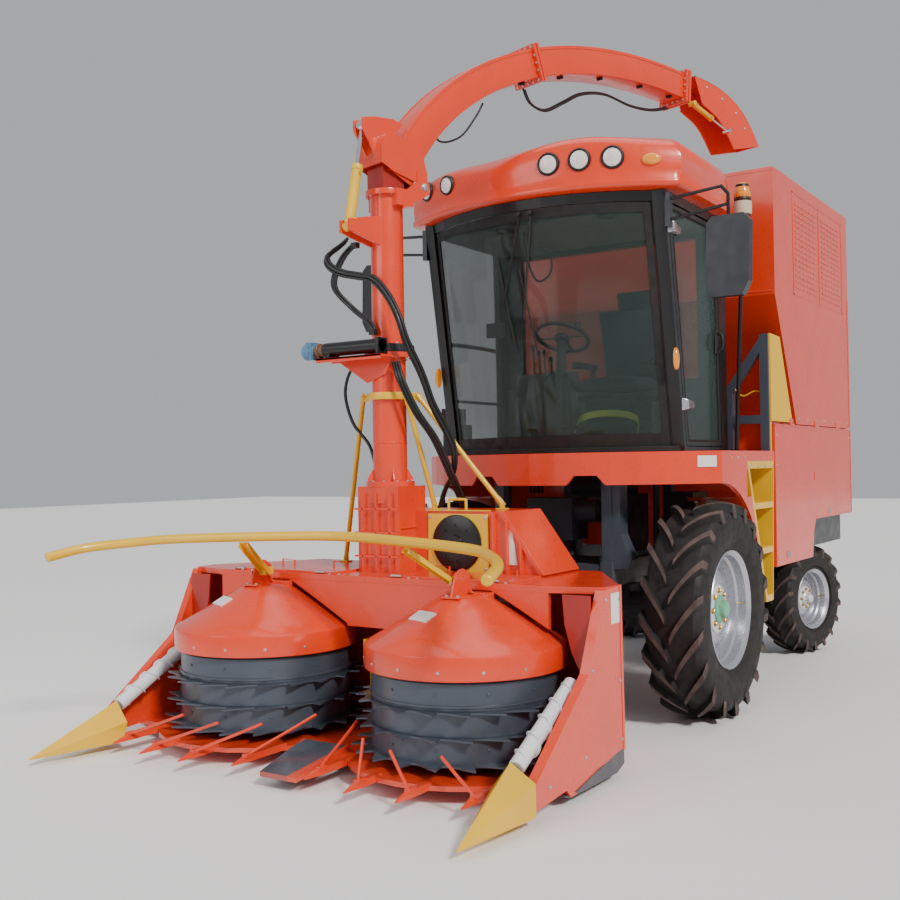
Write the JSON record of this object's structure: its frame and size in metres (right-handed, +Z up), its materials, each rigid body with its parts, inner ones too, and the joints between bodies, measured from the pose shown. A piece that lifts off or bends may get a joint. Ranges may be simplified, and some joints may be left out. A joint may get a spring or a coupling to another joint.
{
  "type": "forage harvester",
  "caption": "Self-propelled forage harvester with a two-drum row-crop header, glazed cab, enclosed engine body and an arched swivelling discharge spout.",
  "frame": {"origin": "on the ground, at the middle of the machine's footprint box", "axes": "+Z up; the header and the cab's windscreen face -Y; +X is the machine's left side, where its door and ladder are"},
  "size_m": [3.3012, 6.2214, 4.6258],
  "materials": {
    "black": "satin black",
    "cast": "painted casting",
    "chrome": "polished",
    "drum_grey": "satin paint",
    "glass": "green-tinted clear",
    "orange": "gloss paint",
    "rim_silver": "silver paint",
    "rubber": "matte hose rubber",
    "seat_cloth": "woven",
    "steel_blue": "satin paint",
    "tyre": "matte tyre rubber",
    "white": "white paint",
    "yellow": "semi-gloss paint"
  },
  "bodies": {
    "chassis": {"beacon": "black", "cab_frame": "black", "cab_roof": "orange", "chassis_frame": "steel_blue", "engine": "cast", "front_axle": "cast", "fuel_tank": "black", "guard_rail": "steel_blue", "ladder": "yellow", "mirror_left": "black", "mirror_right": "black", "platform": "orange", "rear_axle": "cast", "rear_body": "orange", "rear_window": "glass", "right_window": "glass", "seat": "seat_cloth", "steering_wheel": "black", "windscreen": "glass"},
    "cab_door": {"cab_door": "black", "cab_door_glass": "glass"},
    "header": {"chopper_housing": "orange", "column_hoses": "rubber", "column_struts": "yellow", "divider_left": "yellow", "divider_right": "yellow", "drum_cover_left": "orange", "drum_cover_right": "orange", "guide_bar": "yellow", "header_frame": "orange", "slew_drive": "black"},
    "deck_lid_left": {"deck_lid_left": "orange"},
    "deck_lid_right": {"deck_lid_right": "orange"},
    "drum_left": {"drum_left": "drum_grey"},
    "drum_right": {"drum_right": "drum_grey"},
    "flap_cylinder_barrel": {"flap_cylinder_barrel": "yellow"},
    "flap_cylinder_rod": {"flap_cylinder_rod": "chrome"},
    "front_wheel_left": {"front_wheel_left_rim": "rim_silver", "front_wheel_left_tyre": "tyre"},
    "front_wheel_right": {"front_wheel_right_rim": "rim_silver", "front_wheel_right_tyre": "tyre"},
    "lift_cylinder_barrel": {"lift_cylinder_barrel": "cast"},
    "lift_cylinder_rod": {"lift_cylinder_rod": "chrome"},
    "rear_wheel_left": {"rear_wheel_left_rim": "rim_silver", "rear_wheel_left_tyre": "tyre"},
    "rear_wheel_right": {"rear_wheel_right_rim": "rim_silver", "rear_wheel_right_tyre": "tyre"},
    "roller_left": {"roller_left": "white"},
    "roller_right": {"roller_right": "white"},
    "side_door_left": {"side_door_left": "orange"},
    "side_door_right": {"side_door_right": "orange"},
    "spout": {"spout_duct": "orange", "spout_hoses": "rubber"},
    "flap": {"spout_flap": "orange"},
    "knuckle_left": {"steering_knuckle_left": "cast"},
    "knuckle_right": {"steering_knuckle_right": "cast"},
    "tilt_cylinder_barrel": {"tilt_cylinder_barrel": "yellow"},
    "tilt_cylinder_rod": {"tilt_cylinder_rod": "chrome"},
    "turret": {"turret_hoses": "rubber", "upper_column": "orange"}
  },
  "joints": [
    {"name": "front_wheel_left_spin", "type": "hinge", "parent": "chassis", "child": "front_wheel_left", "pos_m": [1.18558, -0.12065, 0.685], "axis": [1, 0, 0], "continuous": true},
    {"name": "steering_left", "type": "hinge", "parent": "chassis", "child": "knuckle_left", "pos_m": [0.82558, 2.59935, 0.4525], "axis": [0, 0, 1], "range_deg": [-21, 49]},
    {"name": "rear_wheel_left_spin", "type": "hinge", "parent": "knuckle_left", "child": "rear_wheel_left", "pos_m": [1.01964, 2.55096, 0.4525], "axis": [0.9703, -0.2419, 0], "continuous": true},
    {"name": "side_door_left_hinge", "type": "hinge", "parent": "chassis", "child": "side_door_left", "pos_m": [1.32558, 1.97435, 1.879], "axis": [0, -1, 0], "range_deg": [0, 75]},
    {"name": "deck_lid_left_hinge", "type": "hinge", "parent": "header", "child": "deck_lid_left", "pos_m": [0.35558, -1.84065, 1.002], "axis": [1, 0, 0], "range_deg": [0, 70]},
    {"name": "drum_left_spin", "type": "hinge", "parent": "header", "child": "drum_left", "pos_m": [0.53388, -1.96065, 0.145], "axis": [0, 0, 1], "continuous": true},
    {"name": "roller_left_spin", "type": "hinge", "parent": "header", "child": "roller_left", "pos_m": [1.17058, -1.98065, 0.53], "axis": [0, -0.8912, -0.4536], "continuous": true},
    {"name": "front_wheel_right_spin", "type": "hinge", "parent": "chassis", "child": "front_wheel_right", "pos_m": [-0.73442, -0.12065, 0.685], "axis": [1, 0, 0], "continuous": true},
    {"name": "steering_right", "type": "hinge", "parent": "chassis", "child": "knuckle_right", "pos_m": [-0.37442, 2.59935, 0.4525], "axis": [0, 0, 1], "range_deg": [-21, 49]},
    {"name": "rear_wheel_right_spin", "type": "hinge", "parent": "knuckle_right", "child": "rear_wheel_right", "pos_m": [-0.56848, 2.64773, 0.4525], "axis": [0.9703, -0.2419, 0], "continuous": true},
    {"name": "side_door_right_hinge", "type": "hinge", "parent": "chassis", "child": "side_door_right", "pos_m": [-0.87442, 1.97435, 1.879], "axis": [0, 1, 0], "range_deg": [0, 75]},
    {"name": "deck_lid_right_hinge", "type": "hinge", "parent": "header", "child": "deck_lid_right", "pos_m": [-0.85442, -1.84065, 1.002], "axis": [1, 0, 0], "range_deg": [0, 70]},
    {"name": "drum_right_spin", "type": "hinge", "parent": "header", "child": "drum_right", "pos_m": [-0.88272, -1.96065, 0.145], "axis": [0, 0, 1], "continuous": true},
    {"name": "roller_right_spin", "type": "hinge", "parent": "header", "child": "roller_right", "pos_m": [-1.51942, -1.98065, 0.53], "axis": [0, -0.8912, -0.4536], "continuous": true},
    {"name": "cab_door_hinge", "type": "hinge", "parent": "chassis", "child": "cab_door", "pos_m": [1.12258, -0.21865, 1.6853], "axis": [0, 0.1631, -0.9866], "range_deg": [0, 65]},
    {"name": "header_lift", "type": "hinge", "parent": "chassis", "child": "header", "pos_m": [-0.17442, 0.17935, 1.05], "axis": [-1, 0, 0], "range_deg": [0, 7]},
    {"name": "spout_slew", "type": "hinge", "parent": "header", "child": "turret", "pos_m": [-0.27442, -1.51065, 2.3], "axis": [0, 0, 1], "range_deg": [-74, 106]},
    {"name": "spout_tilt", "type": "hinge", "parent": "turret", "child": "spout", "pos_m": [-0.22343, -1.33282, 3.312], "axis": [0.9613, -0.2756, 0], "range_deg": [0, 25]},
    {"name": "flap_tilt", "type": "hinge", "parent": "spout", "child": "flap", "pos_m": [0.53457, 1.31065, 4.602], "axis": [-0.9613, 0.2756, 0], "range_deg": [0, 35]},
    {"name": "lift_cylinder_swing", "type": "hinge", "parent": "chassis", "child": "lift_cylinder_barrel", "pos_m": [-0.17442, -0.36065, 0.7], "axis": [1, 0, 0], "range_deg": [-11.08, 0.05]},
    {"name": "lift_cylinder_stroke", "type": "slide", "parent": "lift_cylinder_barrel", "child": "lift_cylinder_rod", "axis": [0, -0.952, 0.306], "range_m": [-0.0005, 0.06589]},
    {"name": "tilt_cylinder_swing", "type": "hinge", "parent": "turret", "child": "tilt_cylinder_barrel", "pos_m": [-0.3516, -1.77981, 3.04], "axis": [0.9613, -0.2756, 0], "range_deg": [-0.05, 10.61]},
    {"name": "tilt_cylinder_stroke", "type": "slide", "parent": "tilt_cylinder_barrel", "child": "tilt_cylinder_rod", "axis": [0.0482, 0.1679, 0.9846], "range_m": [-0.1928, 0.0005]},
    {"name": "flap_cylinder_swing", "type": "hinge", "parent": "spout", "child": "flap_cylinder_barrel", "pos_m": [0.65328, 1.19859, 4.365], "axis": [0.9613, -0.2756, 0], "range_deg": [-42.67, 0.05]},
    {"name": "flap_cylinder_stroke", "type": "slide", "parent": "flap_cylinder_barrel", "child": "flap_cylinder_rod", "axis": [0.2643, 0.9219, -0.2833], "range_m": [-0.14111, 0.0005]}
  ],
  "couplings": [
    {"joint": "steering_right", "follows": "steering_left", "ratio": 1},
    {"joint": "drum_right_spin", "follows": "drum_left_spin", "ratio": -1},
    {"joint": "lift_cylinder_swing", "follows": "header_lift", "ratio": -1.5751},
    {"joint": "lift_cylinder_stroke", "follows": "header_lift", "m_per_rad": 0.53525},
    {"joint": "tilt_cylinder_swing", "follows": "spout_tilt", "ratio": 0.42239},
    {"joint": "tilt_cylinder_stroke", "follows": "spout_tilt", "m_per_rad": -0.44072},
    {"joint": "flap_cylinder_swing", "follows": "flap_tilt", "ratio": -1.2178},
    {"joint": "flap_cylinder_stroke", "follows": "flap_tilt", "m_per_rad": -0.23018}
  ]
}
